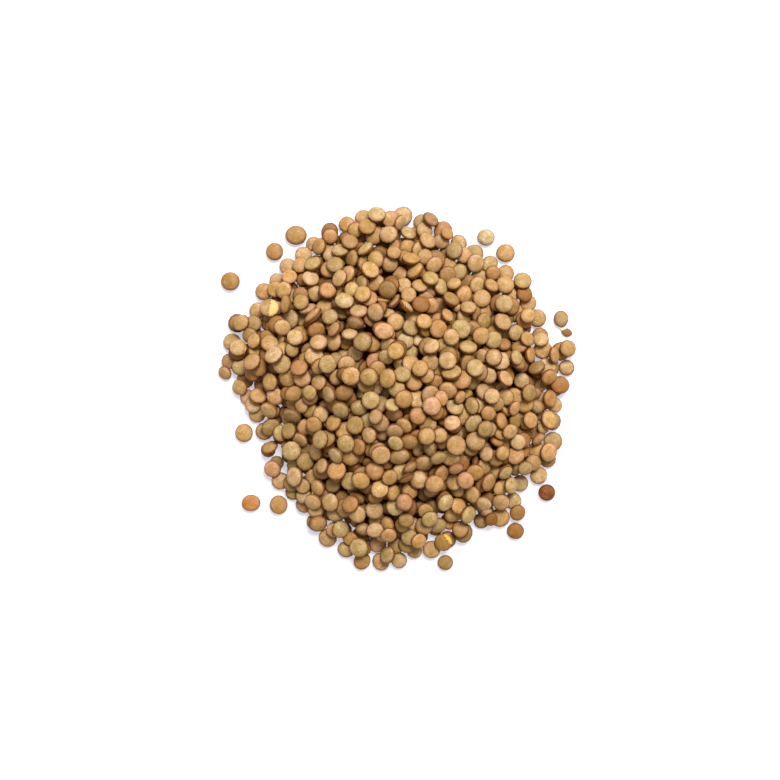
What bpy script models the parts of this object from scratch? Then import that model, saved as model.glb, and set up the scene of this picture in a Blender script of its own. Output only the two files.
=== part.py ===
"""A heap of dry brown lentils poured on a bare surface, with a few stray lentils round its foot.

The heap is one solid: a plain mound with the lentils that show fused onto it. Each stray is a
solid of its own. Metres, +Z up, the origin on the surface under the middle of the bounding box.
"""

import math

import bmesh
import bpy
import numpy as np
from mathutils import Matrix, Vector

MM = 0.001

# Lentils
ACROSS = 6.1 * MM
ACROSS_SPREAD = 0.48 * MM
ACROSS_LIMITS = (4.8 * MM, 7.1 * MM)
THICKNESS_SHARE = 0.42
THICKNESS_LIMITS = (0.92, 1.1)

# Heap: distance from its middle to the middles of its outermost lentils, every 10 degrees from +X
FOOT_REACH = [r * MM for r in (
    56, 60.6, 53.5, 54.8, 56, 54.5, 53.5, 55.5, 58.5, 58.8, 59.3, 58.5,
    57, 56.5, 56, 55, 58.5, 59, 51.5, 48.5, 48, 49.5, 50.5, 52,
    53, 57.5, 60, 59.5, 56.5, 55.5, 55, 60, 54.5, 59, 57.5, 57)]
HEAP_PEAK = 25 * MM
SLOPE = math.radians(28)
SLOPE_OVERHANG = 4 * MM  # the slope ends this far outside the middles of the outermost lentils
HEART_DEPTH = 6.5 * MM  # the pour starts this far under the heap's wanted surface
HEART_START = 7.5 * MM  # the heap has no heart where it is lower than this

# Pour
SEED = 43
CELL = 0.3 * MM
GRID_HALF = 75 * MM
GRID_SIDE = round(2 * GRID_HALF / CELL) + 1
GRID_LINE = np.linspace(-GRID_HALF, GRID_HALF, GRID_SIDE)
RIM_SPREAD = (-1.6 * MM, 0.8 * MM)
ROW_DEPTH = 4.6 * MM  # the second row lies this far inside the rim
ROW_SPREAD = (-0.9 * MM, 0.9 * MM)
ROW_SPACING = (0.96, 1.12)
ROW_END = 0.06
ROW_STEP = 0.5 * MM
SPOTS_TRIED = 60
SPOTS_KEPT = 10
SPOTS_REACH = 0.4 * MM
MISSES_ALLOWED = 12
POUR_UNTIL = 2.4 * MM
FILL_UNTIL = -1.2 * MM
ROOM_SHARE = 0.6
TOP_SPACING = 6.6 * MM
TOP_TRIES = 6000
TOP_INSET = 0.5 * MM
LEAN_LIMITS = (25, 62)
STRAY_GAP = 0.45 * MM
# from the heap's low edge to its inside, between these two heights
LOOSE_FROM = (3 * MM, 8 * MM)
SLOPE_FOLLOWED = (0.6, 0.9)
LEANING_SHARE = (0.08, 0.17)
LEANING_SLOPE = (0.5, 0.8)
# how a lentil is scattered, slides and tilts as it comes to rest
ROW_DROP = {"slide": 0.8 * MM, "turn": 0.3, "rounds": 4}
DEEP_DROP = {"scatter": 0.1, "slide": 1.2 * MM, "turn": 0.3, "rounds": 5}
HOLLOW_DROP = {"scatter": 0.08, "slide": 0.9 * MM, "turn": 0.25, "rounds": 4}
TOP_DROP = {"scatter": 0.0, "slide": 1.0 * MM, "turn": 0.22, "rounds": 5}
LEANING_DROP = {"slide": 0.6 * MM, "turn": 0.12, "rounds": 3}
MARKED_DROP = {"turn": 0.12, "rounds": 3, "pressed": 3 * MM}  # on its edge it is pressed in that far
PROUD = 3.2 * MM  # a loose lentil whose middle would lie this far over the wanted surface rolls off
SETTLE_SHRINK = 0.6
SLOPE_STEP = 10

# Solid
FUSED_SPACING = 5.6 * MM  # least distance between the middles of the lentils fused on the slope
FUSED_SIDES = 7
FUSED_RINGS = 3
STRAY_SIDES = 10
STRAY_RINGS = 5
GOLDEN_ANGLE = math.radians(137.5)  # turns each lentil differently about its axis
MOUND_SIDES = 36
MOUND_RINGS = 12
MOUND_SINK = 0.5 * MM  # the mound lies this far under the heap's wanted surface
PERCH = (0.2 * MM, 0.95 * MM)  # least and greatest height of a lentil's middle over the mound
MOUND_EDGE = 0.9 * MM
MOUND_INSET = 0.5 * MM
FLOOR_GAP = 0.1 * MM
FLAT_SPOT = 0.08 * MM
WELD = 0.002 * MM
TO_ORIGIN = (-0.94 * MM, 0.27 * MM, 0)  # brings the middle of the bounding box over the origin

# Colours
TAN = (0.45, 0.27, 0.12)
RED_BROWN = (0.28, 0.09, 0.03)
HUSK_BROWN = (0.30, 0.15, 0.06)
SKIN_ROUGHNESS = 0.6
RED_STRAYS = ("stray_dark", "stray_low_left")

# Lentils of the heap that the photo shows apart: middle, width, lean and its direction
MARKED = (
    (58.9, 13.3, 6.0, 0, 0),
    (42.0, -42.9, 5.8, 0, 0),
    (56.3, 0.9, 6.6, 6, 0),
    (44.2, 31.9, 5.8, 0, 0),
    (43.5, 36.4, 6.3, 10, 60),
    (32.8, -45.0, 4.8, 0, 0),
    (16.4, -52.9, 6.2, 14, 270),
    (-53.3, 13.5, 6.0, 8, 180),
    (-42.6, 26.9, 6.6, 12, 20),
    (-35.9, -14.7, 6.0, 30, 180),
    (-42.8, -20.5, 6.2, 56, 123),
    (36.6, 28.1, 6.4, 20, 40),
    (-20.2, 41.2, 6.2, 22, 115),
    (8.5, 27.3, 6.2, 30, 60),
    (3.7, 26.6, 6.4, 76, 50),
    (-3.7, 18.4, 6.4, 20, 80),
    (11.9, -6.0, 6.4, 12, 300),
    (2.8, -3.8, 6.3, 10, 250),
    (20.0, -19.1, 7.0, 8, 300),
    (38.3, -14.7, 6.0, 28, 330),
    (29.7, -38.8, 5.4, 30, 200),
)

# Strays: middle, width and length in millimetres, and the turn of the long side in degrees
STRAYS = {
    "stray_far_left": (-56.6, 36.5, 6.3, 6.5, 0),
    "stray_low_left": (-49.5, -39.7, 5.7, 6.4, 5),
    "stray_near_left": (-40.0, -40.3, 6.2, 6.4, 90),
    "stray_left": (-51.9, -15.6, 6.1, 6.3, 90),
    "stray_bottom": (17.3, -60.2, 5.2, 5.4, 0),
    "stray_dark": (52.2, -36.1, 5.7, 5.8, 0),
    "stray_low_right": (41.4, -49.3, 5.8, 6.0, 0),
    "stray_high_right": (57.1, 23.6, 5.3, 5.5, 90),
    "stray_top_right": (38.0, 46.2, 6.2, 6.4, 0),
    "stray_top": (31.3, 51.6, 5.8, 6.0, 0),
    "stray_top_left": (-34.0, 52.3, 6.9, 7.1, 0),
    "stray_upper_left": (-41.4, 46.7, 5.9, 6.1, 90),
}
CHIP = (59.2, 18.9, 2.8, 4.0, -12)
CHIP_THICKNESS = 1.1 * MM
CHIP_SIDES = 7
CHIP_RINGS = 4


def foot_reach(angle):
    step = (np.asarray(angle) / (2 * math.pi) * len(FOOT_REACH)) % len(FOOT_REACH)
    before = np.floor(step).astype(int) % len(FOOT_REACH)
    share = step - np.floor(step)
    share = share * share * (3 - 2 * share)
    reaches = np.array(FOOT_REACH)
    return reaches[before] * (1 - share) + reaches[(before + 1) % len(FOOT_REACH)] * share


def wanted_height(x, y):
    inside = foot_reach(np.arctan2(y, x)) + SLOPE_OVERHANG - np.hypot(x, y)
    slope = HEAP_PEAK * np.tanh(math.tan(SLOPE) * inside / HEAP_PEAK)
    return np.where(inside > 0, slope, 0.0)


def inwards(x, y, limits):
    """A value that changes from the heap's low edge to its inside."""
    low, high = LOOSE_FROM
    share = min(max((float(wanted_height(x, y)) - low) / (high - low), 0), 1)
    return limits[0] + share * (limits[1] - limits[0])


def facing(lean_x, lean_y):
    """Direction of a lens's axis from its two lean slopes."""
    size = math.sqrt(1 + lean_x * lean_x + lean_y * lean_y)
    return (lean_x / size, lean_y / size, 1 / size)


def lens_faces(dx, dy, radius, half, axis):
    """Heights of the lower and upper face of a leaning lens, and where it lies."""
    flat = 1 / radius ** 2
    thin = 1 / half ** 2 - flat
    ax, ay, az = axis
    upright = flat + thin * az * az
    cross = thin * az * (ax * dx + ay * dy)
    level = flat * (dx * dx + dy * dy) + thin * (ax * dx + ay * dy) ** 2 - 1
    under = cross * cross - upright * level
    root = np.sqrt(np.where(under > 0, under, 0))
    return (-cross - root) / upright, (-cross + root) / upright, under > 0


def grid_index(length):
    return int(round((length + GRID_HALF) / CELL))


class Pour:
    """Lentils dropped one after another on a grid of heights."""

    def __init__(self):
        self.draw = np.random.RandomState(SEED)
        self.ground = np.zeros((GRID_SIDE, GRID_SIDE))
        self.owner = np.full((GRID_SIDE, GRID_SIDE), -1)
        self.lentils = []
        self.rim_lentils = 0

    def window(self, x, y, radius):
        first_x, last_x = grid_index(x - radius) - 1, grid_index(x + radius) + 2
        first_y, last_y = grid_index(y - radius) - 1, grid_index(y + radius) + 2
        return slice(first_y, last_y), slice(first_x, last_x)

    def faces(self, x, y, size, axis):
        rows, columns = self.window(x, y, size[0])
        dx = GRID_LINE[columns][None, :] - x
        dy = GRID_LINE[rows][:, None] - y
        return rows, columns, lens_faces(dx, dy, size[0], size[1], axis)

    def rest_height(self, x, y, size, lean):
        rows, columns, (lower, _, lies) = self.faces(x, y, size, facing(*lean))
        return float(np.max(np.where(lies, self.ground[rows, columns] - lower, -1)))

    def slope_at(self, x, y):
        row, column, step = grid_index(y), grid_index(x), SLOPE_STEP
        across = self.ground[row, column + step] - self.ground[row, column - step]
        along = self.ground[row + step, column] - self.ground[row - step, column]
        return across / (2 * step * CELL), along / (2 * step * CELL)

    def drawn_size(self):
        across = min(max(self.draw.normal(ACROSS, ACROSS_SPREAD), ACROSS_LIMITS[0]), ACROSS_LIMITS[1])
        return across / 2, across / 2 * THICKNESS_SHARE * self.draw.uniform(*THICKNESS_LIMITS)

    def drawn_lean(self):
        direction = self.draw.uniform(0, 2 * math.pi)
        steepness = math.tan(math.radians(self.draw.uniform(*LEAN_LIMITS)))
        return steepness * math.cos(direction), steepness * math.sin(direction)

    def settle(self, x, y, size, lean, slide, turn, rounds):
        """Slides and tilts a lens step by step to where it lies lowest."""
        lean_x, lean_y = lean
        z = self.rest_height(x, y, size, lean)
        for _ in range(rounds):
            for side, way in ((0, 1), (0, -1), (1, 1), (1, -1), (2, 1), (2, -1), (3, 1), (3, -1)):
                move = [0.0, 0.0, 0.0, 0.0]
                move[side] = way * (slide if side < 2 else turn)
                if move[side] == 0:
                    continue
                tried = (x + move[0], y + move[1], lean_x + move[2], lean_y + move[3])
                lower = self.rest_height(tried[0], tried[1], size, tried[2:])
                if lower < z - 1e-9:
                    x, y, lean_x, lean_y = tried
                    z = lower
            slide *= SETTLE_SHRINK
            turn *= SETTLE_SHRINK
        return x, y, z, facing(lean_x, lean_y)

    def clear_of_strays(self, x, y, radius):
        for stray_x, stray_y, width, length, _ in list(STRAYS.values()) + [CHIP]:
            gap = math.hypot(x - stray_x * MM, y - stray_y * MM) - radius - max(width, length) * MM / 2
            if gap < STRAY_GAP:
                return False
        return True

    def drop(self, x, y, size, lean, slide=0.0, turn=0.0, rounds=0, pressed=0.0, proud=math.inf):
        """Adds a lentil to the heap, unless it would touch a stray or stand too proud."""
        x, y, z, axis = self.settle(x, y, size, lean, slide, turn, rounds)
        z -= pressed * (1 - axis[2])
        if not self.clear_of_strays(x, y, size[0]) or z - float(wanted_height(x, y)) > proud:
            return False
        rows, columns, (_, upper, lies) = self.faces(x, y, size, axis)
        ground = self.ground[rows, columns]
        top = np.where(lies, z + upper, -1)
        higher = top > ground
        ground[higher] = top[higher]
        self.owner[rows, columns][higher] = len(self.lentils)
        self.lentils.append((x, y, z, size, axis))
        return True

    def lay_row(self, depth, spread, **loose):
        """Lentils side by side along the outline, or a little inside it."""
        angle = 0.0
        while angle < 2 * math.pi - ROW_END:
            size = self.drawn_size()
            reach = float(foot_reach(angle)) - depth + self.draw.uniform(*spread)
            while not self.drop(reach * math.cos(angle), reach * math.sin(angle), size, (0, 0), **loose):
                reach -= ROW_STEP
            angle += 2 * size[0] / reach * self.draw.uniform(*ROW_SPACING)

    def spots(self):
        share = self.draw.uniform(0, 1, SPOTS_TRIED)
        angle = self.draw.uniform(0, 2 * math.pi, SPOTS_TRIED)
        reach = (foot_reach(angle) + SPOTS_REACH) * np.sqrt(share)
        xs, ys = reach * np.cos(angle), reach * np.sin(angle)
        rows = np.round((ys + GRID_HALF) / CELL).astype(int)
        columns = np.round((xs + GRID_HALF) / CELL).astype(int)
        wanted = wanted_height(xs, ys)
        return xs, ys, wanted, wanted - self.ground[rows, columns]

    def along_slope(self, x, y, limits, lean_x=0.0, lean_y=0.0):
        """A lean that also follows the slope, by a share that grows from the edge inwards."""
        slope_x, slope_y = self.slope_at(x, y)
        follow = inwards(x, y, limits)
        return lean_x - follow * slope_x, lean_y - follow * slope_y

    def drop_loose(self, x, y, size, scatter, **loose):
        """Drops a lentil along the slope, or now and then leaning."""
        if self.draw.uniform() < inwards(x, y, LEANING_SHARE):
            lean = self.along_slope(x, y, LEANING_SLOPE, *self.drawn_lean())
            self.drop(x, y, size, lean, proud=PROUD, **LEANING_DROP)
            return
        lean = self.along_slope(x, y, SLOPE_FOLLOWED, *self.draw.normal(0, scatter, 2))
        self.drop(x, y, size, lean, proud=PROUD, **loose)

    def room_for(self, x, y, wanted, size):
        """How far a lentil lying along the slope would stay under the wanted surface."""
        lean = self.along_slope(x, y, SLOPE_FOLLOWED)
        return wanted - self.rest_height(x, y, size, lean) - ROOM_SHARE * size[1]

    def pour_deep(self):
        """Drops lentils where the heap lacks most."""
        misses = 0
        while misses < MISSES_ALLOWED:
            misses += 1
            xs, ys, wanted, lack = self.spots()
            size = self.drawn_size()
            for spot in np.argsort(-lack)[:SPOTS_KEPT]:
                if lack[spot] < POUR_UNTIL:
                    break
                if self.room_for(xs[spot], ys[spot], wanted[spot], size) > FILL_UNTIL:
                    self.drop_loose(xs[spot], ys[spot], size, **DEEP_DROP)
                    misses = 0
                    break

    def fill_hollows(self):
        """Drops lentils where they lie lowest under the wanted surface."""
        misses = 0
        while misses < MISSES_ALLOWED:
            misses += 1
            xs, ys, wanted, lack = self.spots()
            size = self.drawn_size()
            lowest = np.argsort(-lack)[:SPOTS_KEPT]
            room, spot = max((self.room_for(xs[k], ys[k], wanted[k], size), k) for k in lowest)
            if room > FILL_UNTIL:
                self.drop_loose(xs[spot], ys[spot], size, **HOLLOW_DROP)
                misses = 0

    def strew_top(self):
        """A last loose layer of lentils, spread evenly round the marked ones."""
        spots = [(marked[0] * MM, marked[1] * MM) for marked in MARKED]
        for _ in range(TOP_TRIES):
            angle = self.draw.uniform(0, 2 * math.pi)
            reach = (float(foot_reach(angle)) - TOP_INSET) * math.sqrt(self.draw.uniform(0, 1))
            x, y = reach * math.cos(angle), reach * math.sin(angle)
            near = [spot for spot in spots if math.hypot(x - spot[0], y - spot[1]) < TOP_SPACING]
            if not near:
                spots.append((x, y))
        for x, y in spots[len(MARKED):]:
            self.drop_loose(x, y, self.drawn_size(), **TOP_DROP)

    def place_marked(self):
        for x, y, across, lean, direction in MARKED:
            slope = math.tan(math.radians(lean))
            turn = math.radians(direction)
            size = (across * MM / 2, across * MM / 2 * THICKNESS_SHARE)
            lean = (slope * math.cos(turn), slope * math.sin(turn))
            self.drop(x * MM, y * MM, size, lean, **MARKED_DROP)

    def run(self):
        self.lay_row(0, RIM_SPREAD)
        self.rim_lentils = len(self.lentils)
        self.lay_row(ROW_DEPTH, ROW_SPREAD, **ROW_DROP)
        wanted = wanted_height(*np.meshgrid(GRID_LINE, GRID_LINE))
        heart = np.where(wanted < HEART_START, 0, wanted - HEART_DEPTH)
        self.ground = np.maximum(self.ground, heart)
        self.pour_deep()
        self.place_marked()
        self.fill_hollows()
        self.strew_top()

    def most_shown(self):
        """The rim's lentils, then those that show most from above, spread evenly."""
        seen = np.bincount(self.owner[self.owner >= 0], minlength=len(self.lentils))
        chosen = self.lentils[:self.rim_lentils]
        for number in np.argsort(-seen, kind="stable"):
            lentil = self.lentils[number]
            gaps = [math.hypot(lentil[0] - one[0], lentil[1] - one[1]) for one in chosen]
            if number >= self.rim_lentils and min(gaps) > FUSED_SPACING:
                chosen.append(lentil)
        return chosen


def new_object(name, bm, collection):
    bmesh.ops.translate(bm, verts=bm.verts, vec=TO_ORIGIN)
    mesh = bpy.data.meshes.new(name)
    bm.to_mesh(mesh)
    bm.free()
    made = bpy.data.objects.new(name, mesh)
    collection.objects.link(made)
    return made


def lens_mesh(sides, rings, placing):
    """A round lens of unit size with few sides, on average as wide as a true circle."""
    bm = bmesh.new()
    widening = 0.5 + 0.5 / math.cos(math.pi / sides)
    if rings % 2:
        widening /= math.cos(math.pi / rings / 2)
    matrix = placing @ Matrix.Diagonal((widening, widening, 1, 1))
    bmesh.ops.create_uvsphere(bm, u_segments=sides, v_segments=rings, radius=1, matrix=matrix)
    return bm


def mound_height(x, y):
    return max(float(wanted_height(x, y)) - MOUND_SINK, MOUND_EDGE)


def heap_lentil(lentil, number, collection):
    """One lentil of the heap, sunk into the mound and clear of the surface under the heap."""
    x, y, z, (radius, half), axis = lentil
    under = mound_height(x, y)
    z = min(max(z, under + PERCH[0]), under + PERCH[1])
    lean = Vector((0, 0, 1)).rotation_difference(Vector(axis)).to_matrix().to_4x4()
    turn = Matrix.Rotation(number * GOLDEN_ANGLE, 4, "Z")
    shape = lean @ turn @ Matrix.Diagonal((radius, radius, half, 1))
    bm = lens_mesh(FUSED_SIDES, FUSED_RINGS, Matrix.Translation((x, y, z)) @ shape)
    lowest = min(vertex.co.z for vertex in bm.verts)
    bmesh.ops.translate(bm, verts=bm.verts, vec=(0, 0, max(FLOOR_GAP - lowest, 0)))
    return new_object("heap_lentil", bm, collection)


def mound(collection):
    """The heap's inside: a low dome on the heap's outline, just under the lentils."""
    bm = bmesh.new()
    top = bm.verts.new((0, 0, mound_height(0, 0)))
    middle = bm.verts.new((0, 0, 0))
    rings = []
    for ring in range(1, MOUND_RINGS + 1):
        verts = []
        for side in range(MOUND_SIDES):
            angle = 2 * math.pi * side / MOUND_SIDES
            reach = (float(foot_reach(angle)) - MOUND_INSET) * ring / MOUND_RINGS
            x, y = reach * math.cos(angle), reach * math.sin(angle)
            z = mound_height(x, y) if ring < MOUND_RINGS else MOUND_EDGE
            verts.append(bm.verts.new((x, y, z)))
        rings.append(verts)
    rings.append([bm.verts.new((vert.co.x, vert.co.y, 0)) for vert in rings[-1]])
    for side in range(MOUND_SIDES):
        after = (side + 1) % MOUND_SIDES
        bm.faces.new((top, rings[0][side], rings[0][after]))
        bm.faces.new((middle, rings[-1][after], rings[-1][side]))
        for inner, outer in zip(rings, rings[1:]):
            bm.faces.new((inner[side], outer[side], outer[after]))
            bm.faces.new((inner[side], outer[after], inner[after]))
    return new_object("lentil_heap", bm, collection)


def keep_largest_body(mesh):
    """Drops loose scraps and the walls of sealed hollows."""
    bm = bmesh.new()
    bm.from_mesh(mesh)
    bmesh.ops.remove_doubles(bm, verts=bm.verts, dist=WELD)
    bmesh.ops.triangulate(bm, faces=bm.faces)
    bm.faces.ensure_lookup_table()
    left = set(bm.faces)
    bodies = []
    while left:
        body = [left.pop()]
        for face in body:
            for edge in face.edges:
                for near in edge.link_faces:
                    if near in left:
                        left.remove(near)
                        body.append(near)
        bodies.append(body)
    largest = max(bodies, key=len)
    scraps = [face for body in bodies if body is not largest for face in body]
    bmesh.ops.delete(bm, geom=scraps, context="FACES")
    bm.to_mesh(mesh)
    bm.free()


def fuse(body, parts):
    union = body.modifiers.new("Fused lentils", "BOOLEAN")
    union.operation = "UNION"
    union.operand_type = "COLLECTION"
    union.collection = parts
    union.solver = "MANIFOLD"
    seen = bpy.context.evaluated_depsgraph_get()
    fused = bpy.data.meshes.new_from_object(body.evaluated_get(seen))
    fused.name = body.name
    body.modifiers.clear()
    body.data = fused
    for part in list(parts.objects):
        bpy.data.objects.remove(part, do_unlink=True)
    bpy.data.collections.remove(parts)
    keep_largest_body(body.data)


def stray(name, place, thickness, sides, rings, collection):
    """A lentil or chip lying flat by itself, with a small flat spot under it."""
    x, y, width, length, turn = place
    half = thickness / 2
    turned = Matrix.Rotation(math.radians(turn), 4, "Z")
    shape = turned @ Matrix.Diagonal((length * MM / 2, width * MM / 2, half, 1))
    bm = lens_mesh(sides, rings, Matrix.Translation((x * MM, y * MM, half - FLAT_SPOT)) @ shape)
    cut = bmesh.ops.bisect_plane(
        bm, geom=list(bm.verts) + list(bm.edges) + list(bm.faces),
        plane_co=(0, 0, 0), plane_no=(0, 0, 1), clear_inner=True)
    rim = [edge for edge in cut["geom_cut"] if isinstance(edge, bmesh.types.BMEdge)]
    bmesh.ops.contextual_create(bm, geom=rim)
    bmesh.ops.recalc_face_normals(bm, faces=bm.faces)
    bmesh.ops.triangulate(bm, faces=bm.faces)
    return new_object(name, bm, collection)


def give_material(made, name, colour, roughness):
    material = bpy.data.materials.new(name)
    material.use_nodes = True
    shader = material.node_tree.nodes["Principled BSDF"]
    shader.inputs["Base Color"].default_value = (*colour, 1)
    shader.inputs["Roughness"].default_value = roughness
    made.data.materials.clear()
    made.data.materials.append(material)


def build():
    for old in list(bpy.data.objects):
        bpy.data.objects.remove(old, do_unlink=True)
    collection = bpy.data.collections.new("heap_of_dry_lentils")
    bpy.context.scene.collection.children.link(collection)
    parts = bpy.data.collections.new("lentils_to_fuse")
    collection.children.link(parts)

    pour = Pour()
    pour.run()
    heap = mound(collection)
    for number, lentil in enumerate(pour.most_shown()):
        heap_lentil(lentil, number, parts)
    fuse(heap, parts)
    give_material(heap, "lentil_heap", TAN, SKIN_ROUGHNESS)

    for name, place in STRAYS.items():
        thickness = (place[2] + place[3]) / 2 * MM * THICKNESS_SHARE
        made = stray(name, place, thickness, STRAY_SIDES, STRAY_RINGS, collection)
        give_material(made, name, RED_BROWN if name in RED_STRAYS else TAN, SKIN_ROUGHNESS)
    chip = stray("husk_chip", CHIP, CHIP_THICKNESS, CHIP_SIDES, CHIP_RINGS, collection)
    give_material(chip, "husk_chip", HUSK_BROWN, SKIN_ROUGHNESS)


build()
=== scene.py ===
# Heap of dry brown lentils with strays round it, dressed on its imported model
import math

import bpy
import numpy as np
from mathutils import Matrix, Vector


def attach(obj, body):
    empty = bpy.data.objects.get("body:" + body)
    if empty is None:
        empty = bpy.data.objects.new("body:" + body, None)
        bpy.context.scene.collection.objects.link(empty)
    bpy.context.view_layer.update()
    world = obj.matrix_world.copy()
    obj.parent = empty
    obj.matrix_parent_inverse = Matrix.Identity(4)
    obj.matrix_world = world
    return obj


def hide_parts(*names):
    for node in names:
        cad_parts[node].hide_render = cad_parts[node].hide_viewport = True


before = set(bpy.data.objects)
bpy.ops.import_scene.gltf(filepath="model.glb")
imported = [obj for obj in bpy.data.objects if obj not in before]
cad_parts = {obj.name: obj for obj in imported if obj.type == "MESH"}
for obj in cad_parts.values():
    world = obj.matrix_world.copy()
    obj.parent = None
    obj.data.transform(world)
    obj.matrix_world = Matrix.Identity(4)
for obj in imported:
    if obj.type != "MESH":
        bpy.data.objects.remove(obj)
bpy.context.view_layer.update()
print("frame loaded")

mm = 0.001


# The pour: the same lentils, in the same places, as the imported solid
lentil = {
    "across": 6.1 * mm,
    "acrossSpread": 0.48 * mm,
    "acrossLimits": (4.8 * mm, 7.1 * mm),
    "thicknessShare": 0.42,
    "thicknessLimits": (0.92, 1.1),
}
heap = {
    # distance from the middle to the outermost lentils, every 10 degrees from +X
    "footReach": [r * mm for r in (
        56, 60.6, 53.5, 54.8, 56, 54.5, 53.5, 55.5, 58.5, 58.8, 59.3, 58.5,
        57, 56.5, 56, 55, 58.5, 59, 51.5, 48.5, 48, 49.5, 50.5, 52,
        53, 57.5, 60, 59.5, 56.5, 55.5, 55, 60, 54.5, 59, 57.5, 57)],
    "peak": 25 * mm,
    "slope": math.radians(28),
    "slopeOverhang": 4 * mm,
    "heartDepth": 6.5 * mm,
    "heartStart": 7.5 * mm,
    "toOrigin": Vector((-0.94 * mm, 0.27 * mm, 0)),
}
pouring = {
    "seed": 43,
    "cell": 0.3 * mm,
    "gridHalf": 75 * mm,
    "rimSpread": (-1.6 * mm, 0.8 * mm),
    "rowDepth": 4.6 * mm,
    "rowSpread": (-0.9 * mm, 0.9 * mm),
    "rowSpacing": (0.96, 1.12),
    "rowEnd": 0.06,  # a row ends this many radians before it would meet its start
    "rowStep": 0.5 * mm,
    "spotsTried": 60,
    "spotsKept": 10,
    "spotsReach": 0.4 * mm,
    "missesAllowed": 12,
    "pourUntil": 2.4 * mm,  # how much the heap may still lack when the deep pour ends
    "fillUntil": -1.2 * mm,  # least room under the wanted surface; below zero a lentil stands proud of it
    "roomShare": 0.6,  # of half a lentil's thickness
    "topSpacing": 6.6 * mm,
    "topTries": 6000,
    "topInset": 0.5 * mm,
    "leanLimits": (25, 62),
    "strayGap": 0.45 * mm,
    # from the heap's low edge to its inside, between these two heights
    "looseFrom": (3 * mm, 8 * mm),
    "slopeFollowed": (0.6, 0.9),
    "leaningShare": (0.08, 0.17),
    "leaningSlope": (0.5, 0.8),
    # a loose lentil whose middle would lie this far over the wanted surface rolls off
    "proud": 3.2 * mm,
    "settleShrink": 0.6,
    "slopeStep": 10,  # cells each way over which a slope is read
}
# how a lentil is scattered, slides and tilts as it comes to rest
drops = {
    "row": {"slide": 0.8 * mm, "turn": 0.3, "rounds": 4},
    "deep": {"scatter": 0.1, "slide": 1.2 * mm, "turn": 0.3, "rounds": 5},
    "hollow": {"scatter": 0.08, "slide": 0.9 * mm, "turn": 0.25, "rounds": 4},
    "top": {"scatter": 0.0, "slide": 1.0 * mm, "turn": 0.22, "rounds": 5},
    "leaning": {"slide": 0.6 * mm, "turn": 0.12, "rounds": 3},
    # one that stands on its edge is pressed in that far
    "marked": {"turn": 0.12, "rounds": 3, "pressed": 3 * mm},
}
# lentils of the heap that the photo shows apart: middle, width, lean and its direction;
# form, kind, spin, lightness and shade of the skin, and how much of it is gone
marked = (
    (58.9, 13.3, 6.0, 0, 0, "plump", "tan", 0, 0.92, 0.3, 0),
    (42.0, -42.9, 5.8, 0, 0, "plump", "tan", 0, 0.76, 0.2, 0),
    (56.3, 0.9, 6.6, 6, 0, "oval", "amber", 0, 0.77, 0.2, 0),
    (44.2, 31.9, 5.8, 0, 0, "plump", "amber", 0, 0.69, 0.0, 0),
    (43.5, 36.4, 6.3, 10, 60, "plump", "olive", 0, 1.0, 0.2, 0),
    (32.8, -45.0, 4.8, 0, 0, "plump", "amber", 0, 0.63, 0.1, 0),
    (16.4, -52.9, 6.2, 14, 270, "plump", "chipped", 35, 0.82, 0.0, 0.2),
    (-53.3, 13.5, 6.0, 8, 180, "plump", "chipped", -10, 1.05, 0.6, 0.12),
    (-42.6, 26.9, 6.6, 12, 20, "flat", "chipped", -8, 0.95, 0.8, 0.46),
    (-35.9, -14.7, 6.0, 30, 180, "dimpled", "olive", 0, 0.9, 0.5, 0),
    (-42.8, -20.5, 6.2, 56, 123, "sharp", "tan", 0, 0.9, 0.4, 0),
    (36.6, 28.1, 6.4, 20, 40, "dimpled", "olive", 0, 0.97, 0.7, 0),
    (-20.2, 41.2, 6.2, 22, 115, "dimpled", "olive", 0, 0.9, 0.6, 0),
    (8.5, 27.3, 6.2, 30, 60, "oval", "amber", 0, 0.68, 0.0, 0),
    (3.7, 26.6, 6.4, 76, 50, "sharp", "striped", 0, 1.05, 0.6, 0),
    (-3.7, 18.4, 6.4, 20, 80, "notched", "amber", 0, 1.05, 0.9, 0),
    (11.9, -6.0, 6.4, 12, 300, "plump", "rosy", 0, 1.05, 0.2, 0),
    (2.8, -3.8, 6.3, 10, 250, "plump", "tan", 0, 0.92, 0.3, 0),
    (20.0, -19.1, 7.0, 8, 300, "plump", "tan", 0, 0.92, 0.5, 0),
    (38.3, -14.7, 6.0, 28, 330, "notched", "tan", 0, 1.05, 0.5, 0),
    (29.7, -38.8, 5.4, 30, 200, "uneven", "tan", 0, 1.1, 0.9, 0),
)
# middle, width, length and turn of the long side; form, kind, lightness and shade of the skin
strays = {
    "stray_far_left": (-56.6, 36.5, 6.3, 6.5, 0, "plump", "tan", 0.86, 0.0),
    "stray_low_left": (-49.5, -39.7, 5.7, 6.4, 5, "flat", "rust", 0.88, 0.0),
    "stray_near_left": (-40.0, -40.3, 6.2, 6.4, 90, "flat", "tan", 0.90, 0.0),
    "stray_left": (-51.9, -15.6, 6.1, 6.3, 90, "plump", "tan", 1.0, 0.2),
    "stray_bottom": (17.3, -60.2, 5.2, 5.4, 0, "plump", "olive", 0.83, 0.3),
    "stray_dark": (52.2, -36.1, 5.7, 5.8, 0, "plump", "rust", 0.86, 0.85),
    "stray_low_right": (41.4, -49.3, 5.8, 6.0, 0, "uneven", "tan", 0.69, 0.0),
    "stray_high_right": (57.1, 23.6, 5.3, 5.5, 90, "oval", "olive", 0.9, 0.3),
    "stray_top_right": (38.0, 46.2, 6.2, 6.4, 0, "plump", "tan", 0.97, 0.1),
    "stray_top": (31.3, 51.6, 5.8, 6.0, 0, "dimpled", "olive", 1.3, 0.9),
    "stray_top_left": (-34.0, 52.3, 6.9, 7.1, 0, "oval", "tan", 0.88, 0.3),
    "stray_upper_left": (-41.4, 46.7, 5.9, 6.1, 90, "plump", "tan", 0.84, 0.2),
}
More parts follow.
